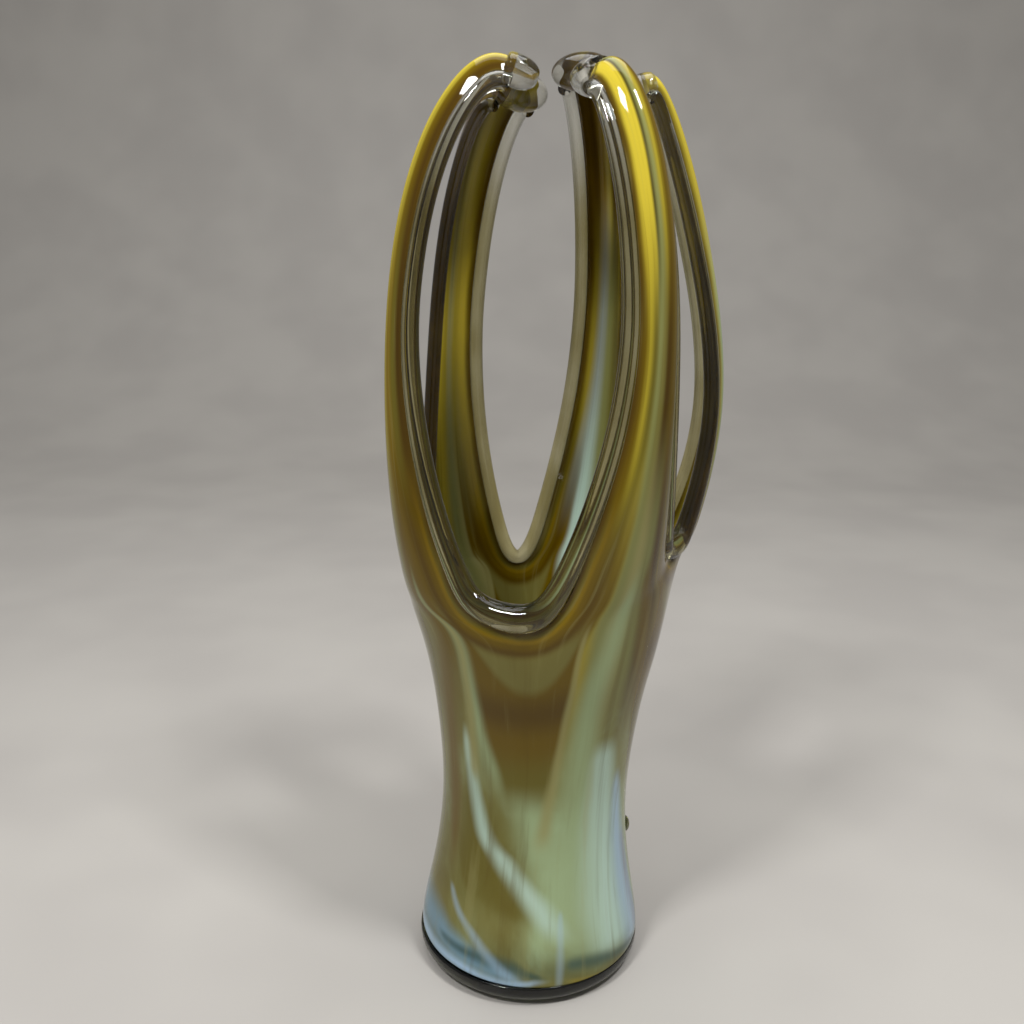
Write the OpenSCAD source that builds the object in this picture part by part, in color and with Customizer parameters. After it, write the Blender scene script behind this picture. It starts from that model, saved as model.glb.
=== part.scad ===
// Hand blown art glass vase: a round foot, a waisted wall, and a rim pulled up into five
// inward-curling fingers, with a clear glass lip laid along each valley between them.
// Millimetres, +Z up, origin at the middle of the foot where it stands.

/* [Body] */
// Outside diameter of the foot at its widest
foot_d = 123; // [100:1:150]
// Height of the clear foot pad
foot_h = 11; // [7:0.5:20]
// Outside diameter at the waist
waist_d = 101; // [80:1:120]
// Height of the waist
waist_h = 97; // [80:1:120]
// Outside diameter of the shoulder, where the fingers begin
shoulder_d = 125; // [105:1:145]
// Height of the shoulder
shoulder_h = 184; // [160:1:210]
// Lean of the wall towards +X, in degrees
lean = 1.3; // [0:0.1:3]

/* [Glass] */
// Thickness of the wall
wall = 4.5; // [3:0.1:7]
// Thickness of the floor above the foot pad
floor_t = 9; // [5:0.5:15]
// Thickness of the clear lip at a valley
lip_d = 11; // [7:0.5:14]
// Thickness of the clear lip at a fingertip
lip_tip_d = 6.5; // [5:0.5:10]
// Length of a clear fingertip
tip_l = 13; // [8:0.5:20]

/* [Fingers] */
// Height of the tallest finger, without its clear tip
finger_top = 466; // [400:1:520]
// Widest radius that the fingers bow out to
finger_spread = 83; // [70:1:95]
// Half the width of a finger at its middle
finger_half_w = 11; // [7:0.5:16]

/* [Hidden] */
$fn = 96;

// Valleys between the fingers: name, turn about +Z from the front, height and radius of the
// wall's edge, and the change in the lip's thickness there.
VALLEYS = [
    ["front", -6.5, 206, 66.5, 4],
    ["right", 80, 233, 69, 1],
    ["rear_right", 124, 226, 69, -2],
    ["back", 190.5, 200, 66, -2.5],
    ["left", 256, 204, 70.5, -1],
];

// Fingers: name, valley on each side, turn of the upper part, and then, against the driving
// values, the change in spread, radius of the end, change in top, change in half width, how
// fast the root narrows, how far it sways to the middle of its valleys, and how late it curls.
FINGERS = [
    ["front_left", 4, 0, 277, 0, 22, 3, -2.5, 0.5, 0.5, 1.25],
    ["front_right", 0, 1, 400, -3, 23, 0, -0.5, 0.6, 1.6, 1.05],
    ["right", 1, 2, 457, 8, 37, -3, -4.5, 1.0, 0.6, 0.6],
    ["back_right", 2, 3, 513, -2, 20, 8, 1, 0.65, 1.4, 1.15],
    ["back_left", 3, 4, 587, -1, 27, -1, 2.5, 0.55, 0, 1.3],
];

// One finger's stations from root to end, the same for all five: share of its height, share
// of its curl inwards, tilt of its section, share of the root's width, share of its own
// width, and depth of its channel against half its width.
RISE = [0.016, 0.085, 0.195, 0.34, 0.5, 0.635, 0.77, 0.89, 0.97, 1.0, 0.985];
CURL = [0.13, 0.08, 0.025, 0, 0.02, 0.09, 0.22, 0.42, 0.65, 0.85, 1];
TILT = [8, 6, 2, -3, -8, -17, -28, -44, -64, -86, -108];
ROOT = [0.44, 0.27, 0.12, 0.02, 0, 0, 0, 0, 0, 0, 0];
SLIM = [1, 1, 1, 1, 1, 1, 1, 0.98, 0.94, 0.88, 0.8];
DEEP = [0.42, 0.46, 0.5, 0.56, 0.62, 0.7, 0.8, 0.92, 1.0, 1.05, 1.0];

cols = 12;
col_steps = [for (c = [0 : cols]) c];
rows_per_station = 2;
station_n = len(RISE);
ring_sides = 10;
arc_half = 45;
base_r = foot_d / 2 - 8;
pontil_r = 17;
pontil_h = 3;
blister_r = 6;
blister_h = 72;
blister_rise = 3;
blister_wall_r = mix(foot_d, waist_d, 0.95) / 2;

// ---- Curves ----

function unit(v) = v / norm(v);
function mix(a, b, t) = a + (b - a) * t;
function out_dir(turn) = [sin(turn), -cos(turn), 0];
function side_dir(turn) = [cos(turn), sin(turn), 0];

// A point of the smooth curve that four neighbouring points p[i]..p[i+3] pull on.
function pulled(p, i, t) =
    (pow(1 - t, 3) * p[i]
    + (3 * pow(t, 3) - 6 * t * t + 4) * p[i + 1]
    + (-3 * pow(t, 3) + 3 * t * t + 3 * t + 1) * p[i + 2]
    + pow(t, 3) * p[i + 3]) / 6;

// The whole curve, with n steps between neighbours; its two end points only steer it.
function smooth(p, n) = [
    for (i = [0 : len(p) - 4], k = [0 : n - 1]) pulled(p, i, k / n),
    pulled(p, len(p) - 4, 1),
];

function mirrored(a, b) = 2 * a - b;
function held_ends(p) = concat(
    [mirrored(p[0], p[1])],
    p,
    [mirrored(p[len(p) - 1], p[len(p) - 2])]
);

// ---- Shape of a finger ----

// Turn of the valley nearest to a finger's own turn.
function near_turn(turn, to) = turn + 360 * round((to - turn) / 360);
function left_turn(f) = near_turn(VALLEYS[f[1]][1], f[3] - 30);
function right_turn(f) = near_turn(VALLEYS[f[2]][1], f[3] + 30);
function left_h(f) = VALLEYS[f[1]][2];
function right_h(f) = VALLEYS[f[2]][2];
function left_r(f) = VALLEYS[f[1]][3];
function right_r(f) = VALLEYS[f[2]][3];

// The two rings of the root: the shoulder (ring 0) and the valleys' ring (ring 1).
function root_point(f, ring, c, inset) =
    let (
        share = c / cols,
        turn = mix(left_turn(f), right_turn(f), share),
        h = ring == 0 ? shoulder_h : mix(left_h(f), right_h(f), share),
        r = ring == 0 ? shoulder_d / 2 : mix(left_r(f), right_r(f), share)
    )
    out_dir(turn) * (r - inset) + [0, 0, h];

// A station's section is an arc, drawn out to its width and depth.
function station_point(f, j, c, inset) =
    let (
        kept = ROOT[j] > 0 ? pow(ROOT[j], f[8]) : 0,
        spread = finger_spread + f[4],
        middle = (left_turn(f) + right_turn(f)) / 2,
        sway = min(1, max(ROOT[j], f[9] * pow(1 - RISE[j], 2))),
        turn = mix(f[3], middle, sway),
        low_r = (left_r(f) + right_r(f)) / 2,
        root_w = low_r * sin((right_turn(f) - left_turn(f)) / 2),
        own_w = finger_half_w + f[7],
        half_w = own_w * SLIM[j] + (root_w - own_w) * kept,
        depth = half_w * DEEP[j],
        low = (left_h(f) + right_h(f)) / 2,
        h = mix(low, finger_top + f[6], RISE[j]),
        curl = pow(CURL[j], j > 3 ? f[10] : 1),
        r = mix(spread, f[5], curl) - (spread - low_r) * ROOT[j] * 0.6,
        n = out_dir(turn) * cos(TILT[j]) - [0, 0, sin(TILT[j])],
        u = side_dir(turn),
        s = 2 * c / cols - 1,
        a = sin(s * arc_half) / sin(arc_half),
        b = (1 - cos(s * arc_half)) / (1 - cos(arc_half)),
        normal = unit(
            n * half_w * cos(s * arc_half) / sin(arc_half)
            + u * depth * sin(s * arc_half) / (1 - cos(arc_half))
        ),
        side_rise = (right_h(f) - left_h(f)) / 2 * s * max(0, 1 - j / 4) * 0.5
    )
    out_dir(turn) * r + [0, 0, h + side_rise] + u * half_w * a - n * depth * b
    - normal * inset;

function column(f, c, inset) = concat(
    [root_point(f, 0, c, inset), root_point(f, 1, c, inset)],
    [for (j = [0 : station_n - 1]) station_point(f, j, c, inset)]
);

function finger_left_of(f) = FINGERS[(search([f[1]], [for (g = FINGERS) g[2]])[0])];
function finger_right_of(f) = FINGERS[(search([f[2]], [for (g = FINGERS) g[1]])[0])];

// An edge column turns the corner of its valley into the neighbouring finger's edge.
function edge_column(f, c, inset) =
    let (
        p = column(f, c, inset),
        across = c == 0
            ? station_point(finger_left_of(f), 0, cols, inset)
            : station_point(finger_right_of(f), 0, 0, inset),
        seam = [mirrored(p[0], p[1]), p[0], p[1], p[2] + across - p[0]],
        edge = concat(
            [across],
            [for (i = [1 : len(p) - 1]) p[i]],
            [mirrored(p[len(p) - 1], p[len(p) - 2])]
        )
    )
    concat(
        [for (k = [0 : rows_per_station - 1]) pulled(seam, 0, k / rows_per_station)],
        smooth(edge, rows_per_station)
    );

function skin_column(f, c, inset) =
    c == 0 || c == cols
    ? edge_column(f, c, inset)
    : smooth(held_ends(column(f, c, inset)), rows_per_station);

// ---- Solids from rings of points ----

// Rings of equal length, joined side to side and closed at both ends by a flat fan.
module skinned(rings, cap_first = true) {
    n = len(rings[0]);
    m = len(rings);
    points = [for (ring = rings) each ring];
    sides = [
        for (i = [0 : m - 2], k = [0 : n - 1])
        let (k2 = (k + 1) % n)
        each [
            [i * n + k, i * n + k2, (i + 1) * n + k2],
            [i * n + k, (i + 1) * n + k2, (i + 1) * n + k],
        ]
    ];
    first = [for (k = [1 : n - 2]) [0, k + 1, k]];
    last = [for (k = [1 : n - 2]) [(m - 1) * n, (m - 1) * n + k, (m - 1) * n + k + 1]];
    polyhedron(points, concat(sides, first, last), convexity = 8);
}

module leaning() {
    rotate([0, lean, 0])
    children();
}

// ---- Foot and body ----

module foot_pad() {
    color([0.2, 0.21, 0.1, 0.6])
    difference() {
        rotate_extrude()
        polygon(concat(
            [[0, 0], [base_r, 0]],
            [for (a = [-60 : 15 : 75]) [base_r + 2 + 6 * cos(a), 5.5 + 5.5 * sin(a)]],
            [[foot_d / 2 - 0.3, foot_h + 3], [0, foot_h + 3]]
        ));
        leaning()
        translate([0, 0, foot_h])
        cylinder(r = foot_d, h = 20);
        translate([0, 0, -1])
        cylinder(r = pontil_r, h = pontil_h + 1);
    }
}

module pontil_mark() {
    color([0.55, 0.58, 0.5, 0.7])
    cylinder(r = pontil_r, h = pontil_h);
}

function wall_curve(inset) = smooth(held_ends([
    [foot_d / 2 - 0.4 - inset, foot_h],
    [foot_d / 2 - 1.6 - inset, foot_h + 9],
    [mix(foot_d, waist_d, 0.32) / 2 - inset, foot_h + 25],
    [mix(foot_d, waist_d, 0.68) / 2 - inset, foot_h + 44],
    [waist_d / 2 - inset, waist_h - 16],
    [waist_d / 2 - 0.4 - inset, waist_h + 4],
    [mix(waist_d, shoulder_d, 0.09) / 2 - inset, waist_h + 24],
    [mix(waist_d, shoulder_d, 0.34) / 2 - inset, waist_h + 49],
    [mix(waist_d, shoulder_d, 0.66) / 2 - inset, waist_h + 70],
    [shoulder_d / 2 - inset, shoulder_h],
]), 3);

module body_wall() {
    floor_h = foot_h + floor_t;
    outer = wall_curve(0);
    inner = [for (p = wall_curve(wall)) if (p[1] > floor_h + 10) p];
    hollow_r = inner[0][0] - 7;
    color([0.62, 0.56, 0.22])
    leaning()
    rotate_extrude()
    polygon(concat(
        [[0, foot_h]],
        outer,
        [for (i = [len(inner) - 1 : -1 : 0]) inner[i]],
        [for (a = [15 : 15 : 75]) [hollow_r + 7 * cos(a), floor_h + 7 - 7 * sin(a)]],
        [[0, floor_h]]
    ));
}

// A gas blister just under the skin lifts the glass into a small dome.
module blister() {
    color([0.8, 0.84, 0.76, 0.5])
    leaning()
    difference() {
        translate([blister_wall_r - blister_r + blister_rise, 0, blister_h])
        sphere(r = blister_r);
        cylinder(r = blister_wall_r, h = shoulder_h);
    }
}

// ---- Fingers ----

module finger(f) {
    outer = [for (c = col_steps) skin_column(f, c, 0)];
    inner = [for (c = col_steps) skin_column(f, c, wall)];
    rings = [
        for (i = [0 : len(outer[0]) - 1])
        concat(
            [for (c = col_steps) outer[c][i]],
            [for (c = col_steps) inner[cols - c][i]]
        )
    ];
    color([0.66, 0.58, 0.2])
    leaning()
    skinned_strip(rings);
}

// As skinned(), with the thin end faces joined across from outer to inner edge.
module skinned_strip(rings) {
    n = len(rings[0]);
    m = len(rings);
    points = [for (ring = rings) each ring];
    sides = [
        for (i = [0 : m - 2], k = [0 : n - 1])
        let (k2 = (k + 1) % n)
        each [
            [i * n + k, i * n + k2, (i + 1) * n + k2],
            [i * n + k, (i + 1) * n + k2, (i + 1) * n + k],
        ]
    ];
    ends = [
        for (k = [0 : n / 2 - 2], e = [0, m - 1])
        let (
            a = e * n + k,
            b = e * n + k + 1,
            c = e * n + n - 2 - k,
            d = e * n + n - 1 - k
        )
        each (e == 0 ? [[a, c, b], [a, d, c]] : [[a, b, c], [a, c, d]])
    ];
    polyhedron(points, concat(sides, ends), convexity = 8);
}

// ---- Lips ----

// The glass edge that a lip is laid on runs down one finger and up the next.
function valley_edge(v, inset) =
    let (
        before = [for (f = FINGERS) if (f[2] == v) f][0],
        after = [for (f = FINGERS) if (f[1] == v) f][0],
        down = skin_column(before, cols, inset),
        up = skin_column(after, 0, inset),
        n = len(up)
    )
    concat(
        [for (i = [n - 1 : -1 : rows_per_station]) down[i]],
        [for (i = [rows_per_station + 1 : n - 1]) up[i]]
    );

// The way a finger is heading where its web ends.
function end_axis(f) =
    let (tilt = TILT[station_n - 1])
    out_dir(f[3]) * sin(tilt) + [0, 0, cos(tilt)];

module lip(v) {
    before = [for (f = FINGERS) if (f[2] == v) f][0];
    after = [for (f = FINGERS) if (f[1] == v) f][0];
    outer = valley_edge(v, 0);
    inner = valley_edge(v, wall);
    last = len(outer) - 1;
    rings = [
        for (i = [0 : last])
        let (
            centre = (outer[i] + inner[i]) / 2,
            face = unit(outer[i] - inner[i]),
            ahead = (outer[min(i + 1, last)] + inner[min(i + 1, last)]) / 2,
            behind = (outer[max(i - 1, 0)] + inner[max(i - 1, 0)]) / 2,
            along = i == 0 ? -end_axis(before)
                : i == last ? end_axis(after)
                : unit(ahead - behind),
            away = unit(cross(face, along)),
            half_gap = norm(outer[i] - inner[i]) / 2,
            tipward = pow(abs(2 * i / last - 1), 0.4),
            r = mix(lip_d + VALLEYS[v][4], lip_tip_d, tipward) / 2,
            reach = sqrt(r * r - half_gap * half_gap),
            open = asin(half_gap / r)
        )
        [
            for (k = [0 : ring_sides])
            let (a = mix(180 - open, open - 180, k / ring_sides))
            centre + away * (reach + r * cos(a)) + face * r * sin(a)
        ]
    ];
    color([0.72, 0.74, 0.6, 0.45])
    leaning()
    skinned(rings);
}

// ---- Clear fingertips ----

module tip(f) {
    j = station_n - 1;
    outer = [for (c = col_steps) station_point(f, j, c, 0)];
    inner = [for (c = col_steps) station_point(f, j, c, wall)];
    middle = (outer[0] + outer[cols] + inner[cols / 2] + outer[cols / 2]) / 4;
    u = side_dir(f[3]);
    axis = end_axis(f);
    n = cross(u, axis);
    half_w = norm(outer[0] - outer[cols]) / 2 + lip_tip_d * 0.8;
    half_t = norm(outer[cols / 2] - (outer[0] + outer[cols]) / 2) / 2 + lip_tip_d * 0.6;
    steps = [0, 0.18, 0.38, 0.58, 0.76, 0.9, 0.98];
    rings = [
        for (t = steps)
        let (fat = pow(1 - pow(t, 2.3), 0.5))
        [
            for (k = [0 : 15])
            middle + axis * tip_l * t - n * tip_l * 0.2 * t * t
            + u * half_w * fat * cos(k * 22.5) + n * half_t * fat * sin(k * 22.5)
        ]
    ];
    color([0.75, 0.77, 0.62, 0.45])
    leaning()
    skinned(rings);
}

foot_pad();
pontil_mark();
body_wall();
blister();
finger(FINGERS[0]);  // finger_front_left
finger(FINGERS[1]);  // finger_front_right
finger(FINGERS[2]);  // finger_right
finger(FINGERS[3]);  // finger_back_right
finger(FINGERS[4]);  // finger_back_left
lip(0);  // lip_front
lip(1);  // lip_right
lip(2);  // lip_rear_right
lip(3);  // lip_back
lip(4);  // lip_left
tip(FINGERS[0]);  // tip_front_left
tip(FINGERS[1]);  // tip_front_right
tip(FINGERS[2]);  // tip_right
tip(FINGERS[3]);  // tip_back_right
tip(FINGERS[4]);  // tip_back_left
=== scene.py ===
import math

import bmesh
import bpy
from mathutils import Matrix, Vector
from mathutils.kdtree import KDTree


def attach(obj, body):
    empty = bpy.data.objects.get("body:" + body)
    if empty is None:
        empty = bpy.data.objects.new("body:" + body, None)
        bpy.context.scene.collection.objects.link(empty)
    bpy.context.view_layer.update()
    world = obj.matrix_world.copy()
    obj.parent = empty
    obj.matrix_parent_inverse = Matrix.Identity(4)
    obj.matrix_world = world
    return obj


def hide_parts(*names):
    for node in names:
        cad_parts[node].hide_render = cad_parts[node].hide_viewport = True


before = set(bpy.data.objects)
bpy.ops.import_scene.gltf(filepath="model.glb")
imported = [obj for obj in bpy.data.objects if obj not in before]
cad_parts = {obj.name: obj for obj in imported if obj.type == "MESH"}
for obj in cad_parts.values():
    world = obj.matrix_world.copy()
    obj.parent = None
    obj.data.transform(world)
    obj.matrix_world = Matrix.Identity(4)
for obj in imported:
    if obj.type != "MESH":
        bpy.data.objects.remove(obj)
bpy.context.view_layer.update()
mm = 0.001
flowHeight = 500  # millimetres from the bottom to the top of the flow map
print("frame loaded", len(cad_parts), "nodes")

# helpers


def deselectAll():
    if bpy.context.object and bpy.context.object.mode != "OBJECT":
        bpy.ops.object.mode_set(mode="OBJECT")
    bpy.ops.object.select_all(action="DESELECT")


def takeActive(piece):
    deselectAll()
    piece.select_set(True)
    bpy.context.view_layer.objects.active = piece
    return piece


def rename(piece, name):
    piece.name = name
    piece.data.name = name
    return piece


def applyModifiers(piece):
    takeActive(piece)
    for modifier in list(piece.modifiers):
        bpy.ops.object.modifier_apply(modifier=modifier.name)


# leaves only the wanted vertices selected, in edit mode
def selectVerts(piece, wanted):
    if piece.mode != "EDIT":
        bpy.ops.object.mode_set(mode="EDIT")
    bpy.ops.mesh.select_mode(type="VERT")
    bpy.ops.mesh.select_all(action="DESELECT")
    mesh = bmesh.from_edit_mesh(piece.data)
    for vert in mesh.verts:
        vert.select = wanted(vert)
    mesh.select_flush_mode()
    bmesh.update_edit_mesh(piece.data)


def outDir(turn):
    return Vector((math.sin(math.radians(turn)), -math.cos(math.radians(turn)), 0))


def sideDir(turn):
    return Vector((math.cos(math.radians(turn)), math.sin(math.radians(turn)), 0))


def mix(a, b, share):
    return a + (b - a) * share


# skin of the vase

wallShape = {
    "lean": 1.3,  # degrees towards +X
    "shoulderRadius": 62.5,
    "shoulderHeight": 184,
    "thickness": 4.5,
    "tuck": 1.2,  # how far the coloured edge reaches into its lip
    # rings down the wall: height, radius
    "rings": [
        (167, 58.4), (146, 54.6), (121, 51.6), (101, 50.4), (81, 50.7),
        (55, 53.8), (36, 57.6), (22, 60.2), (14, 61.0), (11, 60.9),
    ],
    "undersideRings": [58, 40, 18],
    "firstClimb": 8,  # from a valley to the first station, along the flow map
}

valleys = [  # turn from the front, height and radius of the wall's edge, thickness of the lip
    {"name": "back", "turn": -169.5, "height": 200, "radius": 66, "lip": 8.5},
    {"name": "left", "turn": -104, "height": 204, "radius": 70.5, "lip": 10},
    {"name": "front", "turn": -6.5, "height": 206, "radius": 66.5, "lip": 15},
    {"name": "right", "turn": 80, "height": 233, "radius": 69, "lip": 12},
    {"name": "rear_right", "turn": 124, "height": 226, "radius": 69, "lip": 9},
    {"name": "back", "turn": 190.5, "height": 200, "radius": 66, "lip": 8.5},
]

# each finger lies between the valley of its own number and the next; "late" is how late it curls
fingers = [
    {"name": "back_left", "turn": -133, "spread": 82, "end": 27, "top": 465, "half": 13.5,
     "flare": 0.55, "sway": 0, "late": 1.3},
    {"name": "front_left", "turn": -83, "spread": 83, "end": 22, "top": 469, "half": 8.5,
     "flare": 0.5, "sway": 0.5, "late": 1.25},
    {"name": "front_right", "turn": 40, "spread": 80, "end": 23, "top": 466, "half": 10.5,
     "flare": 0.6, "sway": 1.6, "late": 1.05},
    {"name": "right", "turn": 97, "spread": 91, "end": 37, "top": 463, "half": 6.5,
     "flare": 1.0, "sway": 0.6, "late": 0.6},
    {"name": "back_right", "turn": 153, "spread": 81, "end": 20, "top": 474, "half": 12,
     "flare": 0.65, "sway": 1.4, "late": 1.15},
]

# stations from root to end, the same for all fingers
stations = {
    "rise": [0.016, 0.085, 0.195, 0.34, 0.5, 0.635, 0.77, 0.89, 0.97, 1.0, 0.985],
    "curl": [0.13, 0.08, 0.025, 0, 0.02, 0.09, 0.22, 0.42, 0.65, 0.85, 1],
    "tilt": [8, 6, 2, -3, -8, -17, -28, -44, -64, -86, -108],
    "root": [0.44, 0.27, 0.12, 0.02, 0, 0, 0, 0, 0, 0, 0],
    "slim": [1, 1, 1, 1, 1, 1, 1, 0.98, 0.94, 0.88, 0.8],
    "deep": [0.42, 0.46, 0.5, 0.56, 0.62, 0.7, 0.8, 0.92, 1.0, 1.05, 1.0],
}
arcHalf = math.radians(45)
columns = 8
endStation = len(stations["rise"]) - 1


# a point of the finger's root: ring 0 is the shoulder, ring 1 joins the valleys
def ringPoint(number, ring, share):
    left, right = valleys[number], valleys[number + 1]
    height, radius = wallShape["shoulderHeight"], wallShape["shoulderRadius"]
    if ring == 1:
        height = mix(left["height"], right["height"], share)
        radius = mix(left["radius"], right["radius"], share)
    return outDir(mix(left["turn"], right["turn"], share)) * radius + Vector((0, 0, height))


# centre, width and depth of one section, and the three directions that it lies in
def stationFrame(number, station):
    finger, left, right = fingers[number], valleys[number], valleys[number + 1]
    root = stations["root"][station]
    kept = root ** finger["flare"] if root else 0
    low = (left["height"] + right["height"]) / 2
    lowRadius = (left["radius"] + right["radius"]) / 2
    rootHalf = lowRadius * math.sin(math.radians((right["turn"] - left["turn"]) / 2))
    sway = min(1, max(root, finger["sway"] * (1 - stations["rise"][station]) ** 2))
    turn = mix(finger["turn"], (left["turn"] + right["turn"]) / 2, sway)
    half = finger["half"] * stations["slim"][station] + (rootHalf - finger["half"]) * kept
    curl = stations["curl"][station] ** (finger["late"] if station > 3 else 1)
    radius = mix(finger["spread"], finger["end"], curl)
    radius -= (finger["spread"] - lowRadius) * root * 0.6
    height = mix(low, finger["top"], stations["rise"][station])
    tilt = math.radians(stations["tilt"][station])
    out = outDir(turn) * math.cos(tilt) - Vector((0, 0, math.sin(tilt)))
    ahead = outDir(turn) * math.sin(tilt) + Vector((0, 0, math.cos(tilt)))
    centre = outDir(turn) * radius + Vector((0, 0, height))
    return centre, half, half * stations["deep"][station], out, sideDir(turn), ahead


# a point across a section, from -1 at its left edge to 1 at its right one
def sectionPoint(number, station, side):
    centre, half, depth, out, across, _ = stationFrame(number, station)
    climb = (valleys[number + 1]["height"] - valleys[number]["height"]) / 2
    climb *= side * max(0, 1 - station / 4) * 0.5
    wide = math.sin(side * arcHalf) / math.sin(arcHalf)
    deep = (1 - math.cos(side * arcHalf)) / (1 - math.cos(arcHalf))
    return centre + across * half * wide - out * depth * deep + Vector((0, 0, climb))


# the way that a section's edge points, out of the glass
def edgeAway(number, station, side):
    _, half, depth, out, across, _ = stationFrame(number, station)
    wide = math.cos(arcHalf) / math.sin(arcHalf)
    deep = math.sin(arcHalf) / (1 - math.cos(arcHalf))
    return (across * half * wide * side - out * depth * deep).normalized()


def makeFinger(number):
    bpy.ops.mesh.primitive_grid_add(
        x_subdivisions=columns, y_subdivisions=endStation + 2, size=2, calc_uvs=True
    )
    finger = bpy.context.object
    for vert in finger.data.vertices:
        row, column = divmod(vert.index, columns + 1)
        share = column / columns
        place = ringPoint(number, row, share) if row < 2 else sectionPoint(number, row - 2, 2 * share - 1)
        if row > 2 and column in (0, columns):
            place += edgeAway(number, row - 2, 2 * share - 1) * wallShape["tuck"]
        vert.co = place * mm
    finger.data.materials.append(pieceMarks[number])
    return finger


deselectAll()
pieceMarks = [bpy.data.materials.new("mark%d" % i) for i in range(6)]
fingerGrids = [makeFinger(number) for number in range(len(fingers))]
takeActive(fingerGrids[0])
for grid in fingerGrids:
    grid.select_set(True)
bpy.ops.object.join()
skin = rename(bpy.context.object, "skin")
skin.data.materials.append(pieceMarks[5])
bpy.ops.object.mode_set(mode="EDIT")
bpy.ops.mesh.select_all(action="SELECT")
bpy.ops.mesh.remove_doubles(threshold=0.0001)

# the wall is drawn down from the shoulder, ring by ring
shoulderZ = wallShape["shoulderHeight"] * mm
selectVerts(skin, lambda vert: abs(vert.co.z - shoulderZ) < 0.0001)
bpy.ops.mesh.select_mode(type="EDGE")
ringHeight, ringRadius = wallShape["shoulderHeight"], wallShape["shoulderRadius"]
for height, radius in wallShape["rings"]:
    bpy.ops.mesh.extrude_region_move(
        TRANSFORM_OT_translate={"value": (0, 0, (height - ringHeight) * mm)}
    )
    grow = radius / ringRadius
    bpy.ops.transform.resize(value=(grow, grow, 1), center_override=(0, 0, height * mm))
    ringHeight, ringRadius = height, radius
for radius in wallShape["undersideRings"]:
    bpy.ops.mesh.extrude_region_move(TRANSFORM_OT_translate={"value": (0, 0, 0)})
    shrink = radius / ringRadius
    bpy.ops.transform.resize(value=(shrink, shrink, 1), center_override=(0, 0, ringHeight * mm))
    ringRadius = radius
bpy.ops.mesh.extrude_region_move(TRANSFORM_OT_translate={"value": (0, 0, 0)})
bpy.ops.mesh.merge(type="CENTER")
bpy.ops.mesh.select_all(action="SELECT")
bpy.ops.mesh.normals_make_consistent(inside=False)
bpy.ops.object.mode_set(mode="OBJECT")
print("skin cage", len(skin.data.vertices), "points")

# body faces get their own mark, and the whole skin one flow map: turn around, way up
mesh = bmesh.new()
mesh.from_mesh(skin.data)
flow = mesh.loops.layers.uv.verify()
for face in mesh.faces:
    middle = face.calc_center_median()
    if middle.z < shoulderZ:
        face.material_index = 5
        turn = math.degrees(math.atan2(middle.x, -middle.y))
        turn += 360 if turn < valleys[0]["turn"] else 0
        number = max(i for i in range(5) if valleys[i]["turn"] <= turn)
        left, right = valleys[number]["turn"], valleys[number + 1]["turn"]
        for loop in face.loops:
            own = math.degrees(math.atan2(loop.vert.co.x, -loop.vert.co.y))
            own += 360 * round((turn - own) / 360)
            if loop.vert.co.xy.length < 0.002:
                own = turn
            loop[flow].uv = ((number + (own - left) / (right - left)) / 5, loop.vert.co.z / (flowHeight * mm))
    else:
        number = face.material_index
        for loop in face.loops:
            u, v = loop[flow].uv
            row = v * (endStation + 2)
            low = (valleys[number]["height"] + valleys[number + 1]["height"]) / 2
            steps = [wallShape["shoulderHeight"], low]
            point = stationFrame(number, 0)[0]
            steps.append(low + wallShape["firstClimb"])
            for station in range(1, endStation + 1):
                nextPoint = stationFrame(number, station)[0]
                steps.append(steps[-1] + (nextPoint - point).length)
                point = nextPoint
            below = min(int(row + 0.01), len(steps) - 2)
            loop[flow].uv = (
                (number + u) / 5,
                mix(steps[below], steps[below + 1], row - below) / flowHeight,
            )
mesh.to_mesh(skin.data)
mesh.free()

# lean, then smooth
takeActive(skin)
leanTurn = Matrix.Rotation(math.radians(wallShape["lean"]), 4, "Y")
skin.data.transform(leanTurn)
smoother = skin.modifiers.new("smoother", "SUBSURF")
smoother.levels = 3
smoother.render_levels = 3
applyModifiers(skin)
print("skin", len(skin.data.polygons), "faces")

# lips along the valleys

lipShape = {"tipThick": 6.5, "steps": 8, "smooth": 8}
lipNames = {1: "left", 2: "front", 3: "right", 4: "rear_right", 5: "back"}


# points along a valley from one fingertip down and up to the next, with their thickness
def lipPath(valley):
    before, after = valley - 1, valley % 5
    inward = wallShape["thickness"] / 2
    legs = []
    for number, side in ((before, 1), (after, -1)):
        leg = []
        for station in range(endStation + 1):
            share = (station + 1) / (endStation + 1)
            thick = mix(valleys[valley]["lip"], lipShape["tipThick"], share**0.4)
            out = stationFrame(number, station)[3]
            away = edgeAway(number, station, side)
            if station == 0:
                away = (away + Vector((0, 0, 1.2))).normalized()
            if station == 1:
                away = (away + Vector((0, 0, 0.4))).normalized()
            reach = math.sqrt(max(0, (thick / 2) ** 2 - inward**2))
            point = sectionPoint(number, station, side) + away * reach - out * inward
            leg.append((point, thick))
        legs.append(leg)
    bottom = ringPoint(before, 1, 1)
    thick = valleys[valley]["lip"]
    reach = math.sqrt((thick / 2) ** 2 - inward**2)
    centre = bottom - outDir(valleys[valley]["turn"]) * inward + Vector((0, 0, reach))
    return legs[0][::-1] + [(centre, thick)] + legs[1]


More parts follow.
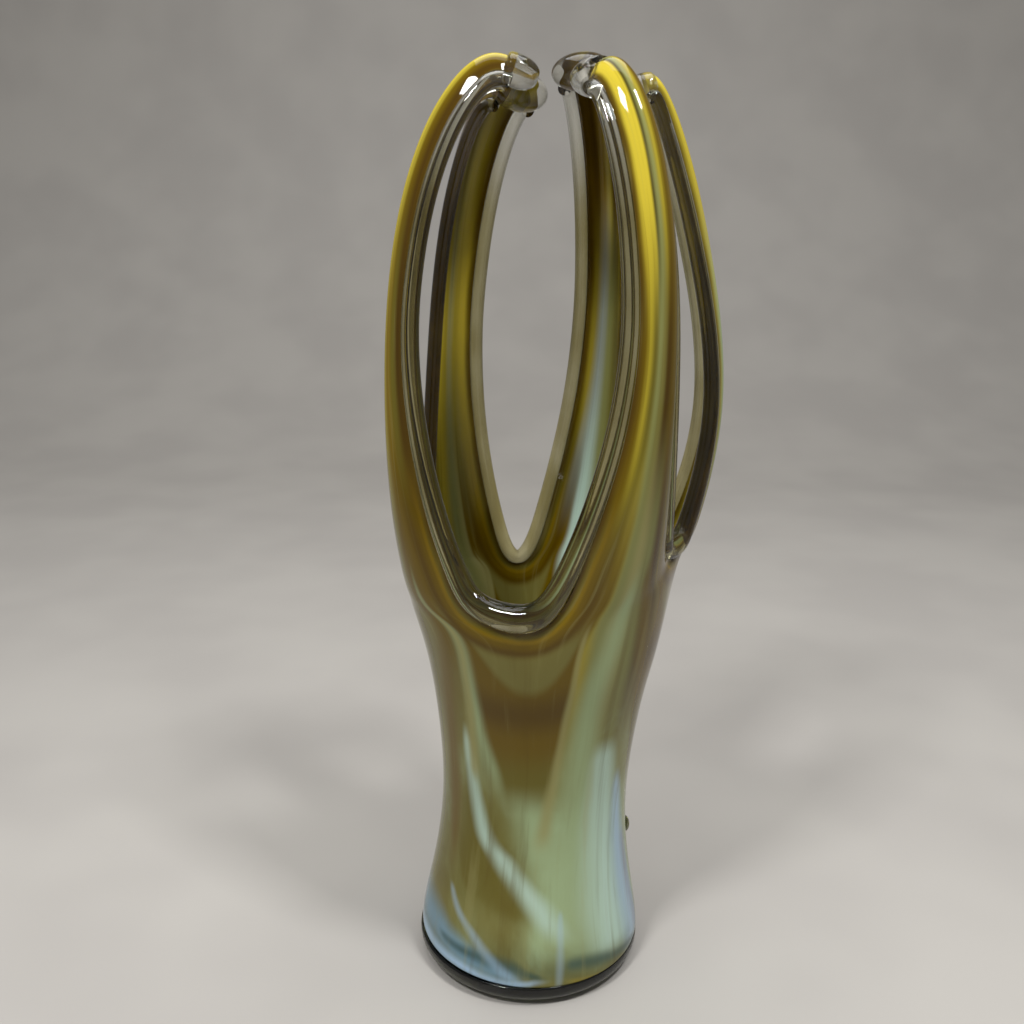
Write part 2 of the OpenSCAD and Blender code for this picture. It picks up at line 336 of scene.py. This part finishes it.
def makeLip(valley):
    path = lipPath(valley)
    bpy.ops.curve.primitive_nurbs_path_add()
    lip = bpy.context.object
    curve = lip.data
    spline = curve.splines[0]
    spline.points.add(len(path) - len(spline.points))
    for point, (place, thick) in zip(spline.points, path):
        point.co = (leanTurn @ (place * mm)).to_4d()
        point.radius = thick / 2
    spline.order_u = 4
    spline.use_endpoint_u = True
    curve.resolution_u = lipShape["steps"]
    curve.bevel_depth = mm
    curve.bevel_resolution = lipShape["smooth"]
    curve.use_fill_caps = True
    takeActive(lip)
    bpy.ops.object.convert(target="MESH")
    bpy.ops.object.shade_smooth()
    return rename(bpy.context.object, "rope_" + lipNames[valley])


lips = [makeLip(valley) for valley in lipNames]
print("lips", [len(lip.data.polygons) for lip in lips])

# how far each point of the skin is from the nearest lip, for the drawn colours
nearLip = KDTree(sum(len(lip.data.vertices) for lip in lips))
count = 0
for lip in lips:
    for vert in lip.data.vertices:
        nearLip.insert(vert.co, count)
        count += 1
nearLip.balance()
rimDistance = skin.data.attributes.new("rimDistance", "FLOAT", "POINT")
for vert in skin.data.vertices:
    rimDistance.data[vert.index].value = nearLip.find(vert.co)[2] / mm

# the smooth direction of the whole skin is kept, so that no seam shows where it is split
keptNormal = skin.data.attributes.new("keptNormal", "FLOAT_VECTOR", "POINT")
for vert in skin.data.vertices:
    keptNormal.data[vert.index].vector = vert.normal

# split the skin into its pieces


def smoothAsOneSkin(piece):
    kept = [Vector(item.vector) for item in piece.data.attributes["keptNormal"].data]
    normals = []
    for face in piece.data.polygons:
        for index in face.vertices:
            lean = kept[index].dot(face.normal)
            normals.append(kept[index] * math.copysign(1, lean) if abs(lean) > 0.6 else face.normal)
    piece.data.normals_split_custom_set(normals)
    piece.data.attributes.remove(piece.data.attributes["keptNormal"])


takeActive(skin)
bpy.ops.object.mode_set(mode="EDIT")
bpy.ops.mesh.separate(type="MATERIAL")
bpy.ops.object.mode_set(mode="OBJECT")
skinPieces = {}
for piece in list(bpy.context.selected_objects):
    mark = piece.data.materials[piece.data.polygons[0].material_index].name
    number = int(mark[4])
    name = "body_wall" if number == 5 else "finger_" + fingers[number]["name"]
    skinPieces[name] = rename(piece, "glass_" + name)
for name, piece in skinPieces.items():
    takeActive(piece)
    piece.data.materials.clear()
    wall = piece.modifiers.new("wall", "SOLIDIFY")
    wall.thickness = wallShape["thickness"] * mm
    wall.offset = -1
    applyModifiers(piece)
    bpy.ops.object.shade_smooth()
    smoothAsOneSkin(piece)
print("pieces", sorted(skinPieces))

# clear fingertips

tipShape = {
    "length": 13,
    "around": 16,
    "start": -0.4,
    # share of the length, share of the girth
    "rounds": [(-0.15, 1.0), (0.15, 1.04), (0.45, 0.99), (0.72, 0.82), (0.92, 0.52)],
}


def makeTip(number):
    centre, half, depth, out, across, ahead = stationFrame(number, endStation)
    wide = half + lipShape["tipThick"] * 0.8
    thick = depth / 2 + lipShape["tipThick"] * 0.6
    middle = centre - out * (depth / 2 + 1.6)
    bpy.ops.mesh.primitive_circle_add(vertices=tipShape["around"], radius=1, fill_type="NGON")
    tip = bpy.context.object
    bpy.ops.object.mode_set(mode="EDIT")
    bpy.ops.mesh.select_all(action="SELECT")
    bpy.ops.transform.translate(value=(0, 0, tipShape["start"]))
    bpy.ops.transform.resize(value=(0.93, 0.93, 1), center_override=(0, 0, 0))
    lastUp, lastGirth = tipShape["start"], 0.93
    for up, girth in tipShape["rounds"]:
        bpy.ops.mesh.extrude_region_move(TRANSFORM_OT_translate={"value": (0, 0, up - lastUp)})
        grow = girth / lastGirth
        bpy.ops.transform.resize(value=(grow, grow, 1), center_override=(0, 0, up))
        lastUp, lastGirth = up, girth
    bpy.ops.mesh.inset(thickness=lastGirth * 0.5)
    bpy.ops.mesh.select_all(action="SELECT")
    bpy.ops.mesh.normals_make_consistent(inside=False)
    bpy.ops.object.mode_set(mode="OBJECT")
    place = Matrix.Identity(4)
    for row in range(3):
        place[row][0] = across[row] * wide * mm
        place[row][1] = out[row] * thick * mm
        place[row][2] = ahead[row] * tipShape["length"] * mm
        place[row][3] = middle[row] * mm
    tip.data.transform(leanTurn @ place)
    takeActive(tip)
    bpy.ops.object.mode_set(mode="EDIT")
    bpy.ops.mesh.select_all(action="SELECT")
    bpy.ops.mesh.normals_make_consistent(inside=False)
    bpy.ops.object.mode_set(mode="OBJECT")
    rounder = tip.modifiers.new("rounder", "SUBSURF")
    rounder.levels = rounder.render_levels = 3
    applyModifiers(tip)
    bpy.ops.object.shade_smooth()
    return rename(tip, "bead_" + fingers[number]["name"])


tips = [makeTip(number) for number in range(len(fingers))]
print("tips", len(tips))

# foot

footShape = {
    "baseRadius": 53.5,
    "around": 64,
    "rounds": [(2, 58.5), (5.5, 61.2), (9, 61.4), (11.4, 61.1)],  # height, radius
}


def makeFoot():
    bpy.ops.mesh.primitive_circle_add(
        vertices=footShape["around"], radius=footShape["baseRadius"] * mm, fill_type="NGON"
    )
    foot = bpy.context.object
    bpy.ops.object.mode_set(mode="EDIT")
    bpy.ops.mesh.select_all(action="SELECT")
    lastUp, lastRadius = 0, footShape["baseRadius"]
    for up, radius in footShape["rounds"]:
        bpy.ops.mesh.extrude_region_move(TRANSFORM_OT_translate={"value": (0, 0, (up - lastUp) * mm)})
        grow = radius / lastRadius
        bpy.ops.transform.resize(value=(grow, grow, 1), center_override=(0, 0, up * mm))
        lastUp, lastRadius = up, radius
    bpy.ops.mesh.inset(thickness=2 * mm)
    bpy.ops.mesh.select_all(action="SELECT")
    bpy.ops.mesh.normals_make_consistent(inside=False)
    bpy.ops.object.mode_set(mode="OBJECT")
    rounder = foot.modifiers.new("rounder", "SUBSURF")
    rounder.levels = rounder.render_levels = 2
    applyModifiers(foot)
    bpy.ops.object.shade_smooth_by_angle(angle=math.radians(50))
    return rename(foot, "foot_disc")


foot = makeFoot()

# glass materials


# short way to lay and wire shader nodes
class Nodes:
    def __init__(self, name):
        self.material = bpy.data.materials.new(name)
        self.material.use_nodes = True
        self.tree = self.material.node_tree
        self.shader = self.tree.nodes["Principled BSDF"]

    def add(self, kind, operation=None, **values):
        node = self.tree.nodes.new(kind)
        if operation:
            node.operation = operation
        for key, value in values.items():
            setattr(node, key, value)
        return node

    def wire(self, source, target):
        self.tree.links.new(source, target)

    def feed(self, socket, value):
        if hasattr(value, "links"):
            self.wire(value, socket)
        else:
            socket.default_value = value

    def sum(self, operation, a, b=0.0, c=0.0, clamp=False):
        node = self.add("ShaderNodeMath", operation)
        node.use_clamp = clamp
        for socket, value in zip(node.inputs, (a, b, c)):
            self.feed(socket, value)
        return node.outputs[0]

    def blend(self, share, a, b):
        node = self.add("ShaderNodeMix")
        node.data_type = "RGBA"
        self.feed(node.inputs[0], share)
        self.feed(node.inputs[6], a)
        self.feed(node.inputs[7], b)
        return node.outputs[2]

    def noise(self, vector, scale, detail=3.0, rough=0.5, bend=0.0):
        node = self.add("ShaderNodeTexNoise")
        self.wire(vector, node.inputs["Vector"])
        node.inputs["Scale"].default_value = scale
        node.inputs["Detail"].default_value = detail
        node.inputs["Roughness"].default_value = rough
        node.inputs["Distortion"].default_value = bend
        return node.outputs[0]

    def stretch(self, vector, scale, offset=(0, 0, 0)):
        node = self.add("ShaderNodeMapping")
        self.wire(vector, node.inputs["Vector"])
        node.inputs["Scale"].default_value = scale
        node.inputs["Location"].default_value = offset
        return node.outputs[0]

    def ramp(self, share, stops):
        node = self.add("ShaderNodeValToRGB")
        node.color_ramp.interpolation = "EASE"
        elements = node.color_ramp.elements
        while len(elements) < len(stops):
            elements.new(0.5)
        for element, (at, colour) in zip(elements, stops):
            element.position = at
            element.color = (*colour, 1)
        self.wire(share, node.inputs[0])
        return node.outputs[0]

    # 0 below low and 1 above high, eased between
    def step(self, value, low, high):
        node = self.add("ShaderNodeMapRange")
        node.interpolation_type = "SMOOTHSTEP"
        self.feed(node.inputs[0], value)
        node.inputs[1].default_value = low
        node.inputs[2].default_value = high
        return node.outputs[0]

    def curve(self, share, spots):
        node = self.add("ShaderNodeFloatCurve")
        line = node.mapping.curves[0]
        while len(line.points) < len(spots):
            line.points.new(0.5, 0.5)
        for point, (at, value) in zip(line.points, spots):
            point.location = (at, value)
        node.mapping.update()
        self.wire(share, node.inputs["Value"])
        return node.outputs[0]

    # a drawn line: where it lies across and half its width, at points along it
    def stroke(self, along, across, points):
        low, high = points[0][0], points[-1][0]
        centres = [spot[1] for spot in points]
        widths = [spot[2] for spot in points]
        least, span = min(centres), max(centres) - min(centres) or 1
        widest = max(widths)
        share = self.sum("DIVIDE", self.sum("SUBTRACT", along, low), high - low, clamp=True)
        centre = self.curve(share, [((s[0] - low) / (high - low), (s[1] - least) / span) for s in points])
        width = self.curve(share, [((s[0] - low) / (high - low), s[2] / widest) for s in points])
        centre = self.sum("MULTIPLY_ADD", centre, span, least)
        away = self.sum("ABSOLUTE", self.sum("SUBTRACT", across, centre))
        away = self.sum("DIVIDE", away, self.sum("MULTIPLY", width, widest))
        body = self.sum("SUBTRACT", 1.0, self.step(away, 0.0, 1.0))
        fade = (high - low) * 0.12
        ends = self.sum("MULTIPLY", self.step(along, low, low + fade),
                        self.sum("SUBTRACT", 1.0, self.step(along, high - fade, high)))
        return self.sum("MULTIPLY", body, ends)


glassColour = {
    "amber": (0.125, 0.078, 0.001),
    "darkAmber": (0.085, 0.048, 0.001),
    "honey": (0.19, 0.12, 0.003),
    "yellow": (0.56, 0.44, 0.035),
    "gold": (0.33, 0.26, 0.02),
    "olive": (0.125, 0.103, 0.012),
    "darkOlive": (0.055, 0.045, 0.006),
    "cream": (0.165, 0.145, 0.035),
    "paleCream": (0.29, 0.27, 0.10),
    "sage": (0.21, 0.215, 0.07),
    "paleGreen": (0.32, 0.41, 0.22),
    "milk": (0.46, 0.62, 0.52),
    "paleBlue": (0.17, 0.31, 0.42),
    "skyWhite": (0.36, 0.52, 0.68),
    "teal": (0.03, 0.07, 0.06),
    "greyGreen": (0.11, 0.13, 0.06),
    "greyBlue": (0.30, 0.34, 0.30),
    "lavender": (0.24, 0.30, 0.42),
    "brown": (0.062, 0.032, 0.002),
}

# colours around the skin, as (turn counted in valleys, colour); 2 is the front valley
fingerColours = {
    "low": [
        (0.0, "amber"), (0.1, "gold"), (0.25, "paleCream"), (0.4, "sage"), (0.55, "gold"), (0.75, "olive"),
        (1.0, "amber"), (1.15, "sage"), (1.35, "olive"), (1.55, "cream"), (1.72, "amber"), (1.9, "darkAmber"),
        (2.04, "amber"), (2.16, "olive"), (2.24, "gold"), (2.33, "sage"), (2.42, "paleCream"),
        (2.52, "sage"), (2.62, "brown"), (2.74, "olive"), (2.9, "cream"), (3.0, "brown"), (3.1, "sage"),
        (3.4, "paleGreen"), (3.75, "gold"), (4.15, "olive"), (4.4, "sage"), (4.6, "milk"), (4.8, "greyBlue"),
        (4.9, "olive"), (4.97, "amber"),
    ],
    "middle": [
        (0.0, "amber"), (0.1, "yellow"), (0.25, "gold"), (0.38, "paleCream"), (0.5, "gold"),
        (0.7, "yellow"), (0.95, "amber"), (1.15, "cream"), (1.3, "olive"), (1.55, "gold"), (1.72, "honey"),
        (1.85, "olive"), (1.95, "brown"), (2.07, "amber"), (2.13, "gold"), (2.21, "olive"),
        (2.29, "sage"), (2.37, "cream"), (2.46, "brown"), (2.62, "amber"), (2.78, "olive"), (3.0, "gold"),
        (3.25, "paleGreen"), (3.6, "yellow"), (3.85, "yellow"), (4.1, "olive"), (4.4, "sage"),
        (4.65, "greyBlue"), (4.87, "gold"), (4.97, "amber"),
    ],
    "top": [
        (0.0, "amber"), (0.2, "gold"), (0.4, "olive"), (0.65, "honey"), (0.95, "brown"), (1.05, "honey"),
        (1.25, "amber"), (1.42, "gold"), (1.6, "yellow"), (1.72, "gold"), (1.8, "amber"), (1.93, "brown"),
        (2.02, "amber"), (2.09, "yellow"), (2.22, "yellow"), (2.27, "darkOlive"), (2.33, "sage"),
        (2.42, "gold"), (2.52, "amber"), (2.85, "honey"), (3.03, "gold"), (3.3, "yellow"), (3.55, "gold"),
        (3.8, "yellow"), (4.05, "gold"), (4.15, "amber"), (4.3, "brown"), (4.5, "gold"), (4.7, "honey"),
        (4.85, "brown"), (4.97, "darkAmber"),
    ],
}


def marbledGlass():
    c = glassColour
    n = Nodes("marbled_glass")
    place = n.add("ShaderNodeTexCoord").outputs["Object"]
    flowMap = n.add("ShaderNodeUVMap", uv_map="UVMap").outputs[0]
    parts = n.add("ShaderNodeSeparateXYZ")
    n.wire(flowMap, parts.inputs[0])
    turn = n.sum("MULTIPLY", parts.outputs[0], 5.0)
    height = n.sum("MULTIPLY", parts.outputs[1], flowHeight)  # millimetres up the skin
    rim = n.add("ShaderNodeAttribute", attribute_name="rimDistance").outputs["Fac"]

    # the glass wanders a little as it is pulled
    wander = n.sum("SUBTRACT", n.noise(n.stretch(place, (14, 14, 6)), 1.0, 3), 0.5)
    sway = n.sum("SUBTRACT", n.noise(n.stretch(place, (9, 9, 9), (4, 1, 2)), 1.0, 2), 0.5)
    t = n.sum("MULTIPLY_ADD", wander, 0.12, turn)
    h = n.sum("MULTIPLY_ADD", sway, 26.0, height)

    longWay = n.add("ShaderNodeCombineXYZ")
    n.wire(t, longWay.inputs[0])
    n.feed(longWay.inputs[1], n.sum("MULTIPLY", height, 0.004))
    fine = n.noise(n.stretch(longWay.outputs[0], (11, 1.6, 1)), 1.0, 4, 0.55, 0.5)
    cloud = n.noise(n.stretch(place, (24, 24, 15)), 1.0, 4, 0.55, 0.6)

    # the wall, bottom to top, different on either side of the front
    def tall(stops):
        return n.ramp(n.sum("DIVIDE", h, 250.0, clamp=True), [(z / 250, c[name]) for z, name in stops])

    leftWall = tall([(4, "paleBlue"), (16, "greyGreen"), (44, "cream"), (60, "olive"), (100, "olive"),
                     (130, "cream"), (165, "olive"), (215, "olive")])
    rightWall = tall([(4, "gold"), (13, "cream"), (22, "greyGreen"), (40, "paleGreen"), (60, "paleGreen"),
                      (95, "paleGreen"), (125, "sage"), (160, "cream"), (200, "olive")])
    side = n.step(n.sum("ADD", t, n.sum("MULTIPLY", cloud, 0.1)), 1.95, 2.25)
    side = n.sum("MULTIPLY", side, n.sum("SUBTRACT", 1.0, n.step(t, 3.1, 3.7)))
    wall = n.blend(side, leftWall, rightWall)
    clouds = n.ramp(cloud, [(0.35, c["olive"]), (0.5, c["sage"]), (0.68, c["paleGreen"])])
    wall = n.blend(0.33, wall, clouds)

    # fingers: streaks that run their whole length
    share = n.sum("DIVIDE", t, 5.0)
    pulled = {}
    for level, stops in fingerColours.items():
        pulled[level] = n.ramp(share, [(at / 5, c[name]) for at, name in stops])
    finger = n.blend(n.step(h, 240, 330), pulled["low"], pulled["middle"])
    finger = n.blend(n.step(h, 345, 425), finger, pulled["top"])
    colour = n.blend(n.step(h, 120, 215), wall, finger)

    # front of the wall, drawn streak by streak
    drawn = [
        # colour, strength, points as height, turn, half width
        ("amber", 0.9, [
            (60, 1.50, 0.05), (110, 1.47, 0.11), (160, 1.50, 0.12), (215, 1.62, 0.1),
            (300, 1.78, 0.05),
        ]),
        ("olive", 0.9, [
            (44, 2.0, 0.10), (68, 1.82, 0.2), (90, 1.66, 0.18), (120, 1.62, 0.07),
            (140, 1.62, 0.02),
        ]),
        ("milk", 0.7, [
            (34, 2.3, 0.10), (52, 2.16, 0.16), (67, 2.02, 0.14), (81, 1.88, 0.12),
            (99, 1.72, 0.10), (128, 1.64, 0.07), (160, 1.62, 0.03),
        ]),
        ("paleGreen", 0.8, [
            (70, 2.12, 0.24), (96, 2.08, 0.24), (121, 1.96, 0.18), (141, 1.8, 0.14),
            (163, 1.72, 0.10), (200, 1.68, 0.07), (240, 1.72, 0.03),
        ]),
        ("paleCream", 0.8, [
            (120, 1.66, 0.05), (150, 1.66, 0.06), (185, 1.66, 0.045), (225, 1.70, 0.02),
        ]),
        ("paleGreen", 0.7, [
            (30, 2.5, 0.35), (75, 2.42, 0.34), (110, 2.36, 0.24), (150, 2.34, 0.16),
            (205, 2.42, 0.11), (250, 2.46, 0.07),
        ]),
        ("milk", 0.9, [
            (18, 2.72, 0.24), (44, 2.66, 0.34), (79, 2.62, 0.3), (110, 2.56, 0.22),
            (150, 2.5, 0.12),
        ]),
        ("amber", 0.85, [
            (118, 2.98, 0.05), (140, 2.90, 0.13), (170, 2.76, 0.14), (201, 2.62, 0.1),
            (250, 2.56, 0.07),
        ]),
        ("skyWhite", 0.75, [
            (8, 2.96, 0.22), (40, 2.88, 0.22), (75, 2.80, 0.18), (100, 2.74, 0.12),
            (126, 2.68, 0.05),
        ]),
        ("lavender", 0.6, [(16, 3.0, 0.10), (50, 2.92, 0.09), (85, 2.84, 0.06)]),
    ]
    for name, strength, points in drawn:
        mask = n.stroke(h, t, points)
        mask = n.sum("MULTIPLY", mask, n.sum("MULTIPLY_ADD", fine, 0.9, strength - 0.4), clamp=True)
        colour = n.blend(mask, colour, (*c[name], 1))

    # drapes that hang below every valley
    local = n.sum("SUBTRACT", n.sum("FRACT", n.sum("ADD", t, 0.5)), 0.5)
    leftEdge = n.curve(n.sum("DIVIDE", n.sum("SUBTRACT", h, 108.0), 110.0, clamp=True),
                       [(0, 0.40), (0.18, 0.50), (0.45, 0.72), (0.72, 0.82), (1.0, 0.84)])
    rightEdge = n.curve(n.sum("DIVIDE", n.sum("SUBTRACT", h, 108.0), 110.0, clamp=True),
                        [(0, 0.42), (0.18, 0.50), (0.45, 0.60), (0.8, 0.66), (1.0, 0.78)])
    inLeft = n.step(n.sum("ADD", local, n.sum("MULTIPLY_ADD", leftEdge, 0.4, -0.02)), -0.03, 0.05)
    inRight = n.step(n.sum("SUBTRACT", n.sum("MULTIPLY_ADD", rightEdge, 0.4, -0.02), local), -0.02, 0.03)
    bottom = n.step(h, 106, 128)
    swag = n.sum("MULTIPLY", n.sum("MULTIPLY", inLeft, inRight), bottom)
    drape = n.sum("MULTIPLY_ADD", wander, 7.0, rim)
    nested = n.ramp(
        n.sum("DIVIDE", drape, 100.0, clamp=True),
        [
            (0.0, c["darkOlive"]), (0.02, c["olive"]), (0.04, c["honey"]), (0.06, c["amber"]),
            (0.10, c["darkAmber"]), (0.15, c["amber"]), (0.28, c["amber"]), (0.45, c["darkAmber"]),
            (0.62, c["amber"]), (0.85, c["olive"]),
        ],
    )
    upFingers = n.sum("SUBTRACT", 1.0, n.step(h, 225, 300))
    colour = n.blend(n.sum("MULTIPLY", swag, upFingers), colour, nested)
    # a pale crescent between them, under the middle of the valley
    spread = n.sum("MULTIPLY", n.sum("MULTIPLY", local, local), -300.0)
    lower = n.sum("ADD", spread, 33.0)
    crescent = n.sum("MULTIPLY", n.step(drape, 9.0, 14.0),
                     n.sum("SUBTRACT", 1.0, n.step(n.sum("SUBTRACT", drape, lower), -5.0, 3.0)))
    crescent = n.sum("MULTIPLY", crescent, n.sum("SUBTRACT", 1.0, n.step(h, 205, 225)))
    colour = n.blend(crescent, colour, (*c["cream"], 1))
    # thin pale line down the right side of the drape
    edge = n.stroke(h, local, [
        (84, 0.10, 0.12), (112, 0.15, 0.08), (138, 0.19, 0.05), (176, 0.225, 0.035), (225, 0.26, 0.02),
    ])
    colour = n.blend(n.sum("MULTIPLY", edge, 0.75), colour, (*c["paleCream"], 1))
    # amber line where the skin meets its lip, all the way up
    line = n.sum("SUBTRACT", 1.0, n.step(rim, 0.5, 4.0))
    colour = n.blend(n.sum("MULTIPLY", line, 0.75), colour, (*c["brown"], 1))

    # low on the front: white smear along the foot, teal patch, white streak, crease
    around = [
        ("paleBlue", 0.8, [
            (0.3, 20, 6), (0.8, 26, 14), (1.3, 30, 20), (1.6, 24, 14), (1.85, 20, 9), (2.1, 17, 5),
        ]),
        ("teal", 0.7, [(1.45, 27, 3), (1.62, 24, 5), (1.90, 24, 7), (2.08, 20, 4), (2.2, 18, 2)]),
        ("skyWhite", 0.95, [
            (0.4, 15, 3), (0.9, 18, 6), (1.25, 17, 7), (1.60, 14, 6), (1.91, 13, 4.5),
            (2.12, 16, 3), (2.22, 17, 1.5),
        ]),
        ("teal", 0.6, [(2.25, 25, 5), (2.45, 25, 7), (2.7, 21, 5), (2.95, 17, 3)]),
        ("gold", 0.6, [(2.26, 16, 3), (2.5, 13, 4), (2.8, 12, 4), (3.15, 12, 4)]),
    ]
    for name, strength, points in around:
        mask = n.stroke(t, h, points)
        mask = n.sum("MULTIPLY", mask, n.sum("MULTIPLY_ADD", cloud, 0.8, strength - 0.35), clamp=True)
        colour = n.blend(mask, colour, (*c[name], 1))
    for strength, points in (
        (0.4, [(12, 2.03, 0.08), (23, 1.88, 0.08), (36, 1.73, 0.07), (47, 1.6, 0.05), (60, 1.52, 0.03)]),
        (0.3, [(10, 2.235, 0.03), (30, 2.245, 0.04), (56, 2.25, 0.02)]),
    ):
        mask = n.sum("MULTIPLY", n.stroke(h, turn, points), strength)
        colour = n.blend(mask, colour, (*c["skyWhite"], 1))

    # thin streaks over all
    streaks = n.ramp(fine, [(0.36, c["darkAmber"]), (0.5, c["olive"]), (0.64, c["paleCream"])])
    strength = n.sum("MULTIPLY", n.step(n.sum("ABSOLUTE", n.sum("SUBTRACT", fine, 0.5)), 0.03, 0.25), 0.3)
    colour = n.blend(strength, colour, streaks)
    n.wire(colour, n.shader.inputs["Base Color"])
    n.shader.inputs["Roughness"].default_value = 0.04
    n.shader.inputs["IOR"].default_value = 1.5
    n.shader.inputs["Specular IOR Level"].default_value = 0.28
    return n.material


def clearGlass(name, colour, rough=0.0, clearing=None):
    n = Nodes(name)
    place = n.add("ShaderNodeTexCoord").outputs["Object"]
    ripple = n.noise(n.stretch(place, (60, 60, 14)), 1.0, 3, 0.5, 0.3)
    tint = n.ramp(ripple, [(0.35, colour[0]), (0.65, colour[1])])
    if clearing:
        # thinner and clearer towards the top
        parts = n.add("ShaderNodeSeparateXYZ")
        n.wire(place, parts.inputs[0])
        low, high = clearing
        tint = n.blend(n.step(parts.outputs[2], low * mm, high * mm), tint, (0.93, 0.93, 0.86, 1))
    n.wire(tint, n.shader.inputs["Base Color"])
    bump = n.add("ShaderNodeBump")
    bump.inputs["Strength"].default_value = 0.15
    bump.inputs["Distance"].default_value = 0.6 * mm
    n.wire(ripple, bump.inputs["Height"])
    n.wire(bump.outputs[0], n.shader.inputs["Normal"])
    n.shader.inputs["Transmission Weight"].default_value = 1.0
    n.shader.inputs["IOR"].default_value = 1.5
    n.shader.inputs["Roughness"].default_value = rough
    return n.material


marbled = marbledGlass()
lipGlass = clearGlass("clear_lip_glass", ((0.42, 0.37, 0.16), (0.66, 0.62, 0.38)), 0.0, (390, 455))
# foot glass tinted near black: partly the glass's own olive colour, partly painted shade for a dark tabletop
# seen in and through the foot
footGlassWithPaintedShade = clearGlass("clear_foot_glass", ((0.10, 0.11, 0.05), (0.18, 0.2, 0.1)))
groundGlass = clearGlass("ground_glass", ((0.5, 0.53, 0.45), (0.6, 0.62, 0.55)), 0.5)


def dress(piece, material, slotName, *nodes):
    piece.data.materials.clear()
    piece.data.materials.append(material)
    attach(piece, "root")
    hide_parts(*nodes)


for name, piece in skinPieces.items():
    dress(piece, marbled, "marbled_glass", name)
for piece in lips:
    dress(piece, lipGlass, "clear_lip_glass", piece.name.replace("rope_", "lip_"))
for piece in tips:
    dress(piece, lipGlass, "clear_lip_glass", piece.name.replace("bead_", "tip_"))
dress(foot, footGlassWithPaintedShade, "clear_foot_glass", "foot_pad")
for node, material in (("pontil_mark", groundGlass), ("blister", lipGlass)):
    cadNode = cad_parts[node]
    cadNode.data.materials.clear()
    cadNode.data.materials.append(material)
print("materials on")

# table, light and camera

deselectAll()
bpy.ops.mesh.primitive_plane_add(size=4)
floor = rename(bpy.context.object, "table")
selectVerts(floor, lambda vert: vert.co.y > 0)
bpy.ops.mesh.extrude_region_move(TRANSFORM_OT_translate={"value": (0, 0, 3)})
selectVerts(floor, lambda vert: vert.co.y > 0 and vert.co.z < 0.1)
bpy.ops.mesh.bevel(offset=0.9, segments=16, affect="EDGES")
bpy.ops.object.mode_set(mode="OBJECT")
bpy.ops.object.shade_smooth()
tableTop = Nodes("table_top")
grain = tableTop.noise(tableTop.add("ShaderNodeTexCoord").outputs["Object"], 6.0, 2)
tableTop.wire(tableTop.ramp(grain, [(0.3, (0.42, 0.40, 0.375)), (0.7, (0.46, 0.44, 0.41))]),
              tableTop.shader.inputs["Base Color"])
tableTop.shader.inputs["Roughness"].default_value = 0.6
floor.data.materials.append(tableTop.material)


def addLight(name, place, size, watts):
    bpy.ops.object.light_add(type="AREA", location=place)
    light = rename(bpy.context.object, name)
    light.data.size = size
    light.data.energy = watts
    aim = Vector((0, 0, 0.25)) - Vector(place)
    light.rotation_euler = aim.to_track_quat("-Z", "Y").to_euler()
    return light


addLight("lampLeft", (-0.5, -0.7, 1.3), 0.2, 11)
addLight("lampRight", (0.45, -0.45, 1.4), 0.2, 10)
addLight("ceiling", (0.0, 0.3, 1.9), 1.4, 16)

world = bpy.data.worlds.new("room")
bpy.context.scene.world = world
world.use_nodes = True
world.node_tree.nodes["Background"].inputs[0].default_value = (0.75, 0.74, 0.72, 1)
world.node_tree.nodes["Background"].inputs[1].default_value = 0.35
bpy.context.scene.view_settings.view_transform = "Standard"

cameraShape = {"place": (-11.5, -509.5, 386.7), "pitch": 15.0, "roll": 0.53, "lens": 36.1}
bpy.ops.object.camera_add(location=[value * mm for value in cameraShape["place"]])
camera = bpy.context.object
camera.data.lens = cameraShape["lens"]
camera.data.sensor_width = 36
camera.data.clip_start = 0.01
aimTurn = Matrix.Rotation(math.radians(90 - cameraShape["pitch"]), 4, "X")
rollTurn = Matrix.Rotation(math.radians(cameraShape["roll"]), 4, "Z")
camera.rotation_euler = (aimTurn @ rollTurn).to_euler()
bpy.context.scene.camera = camera

for mark in pieceMarks:
    bpy.data.materials.remove(mark)
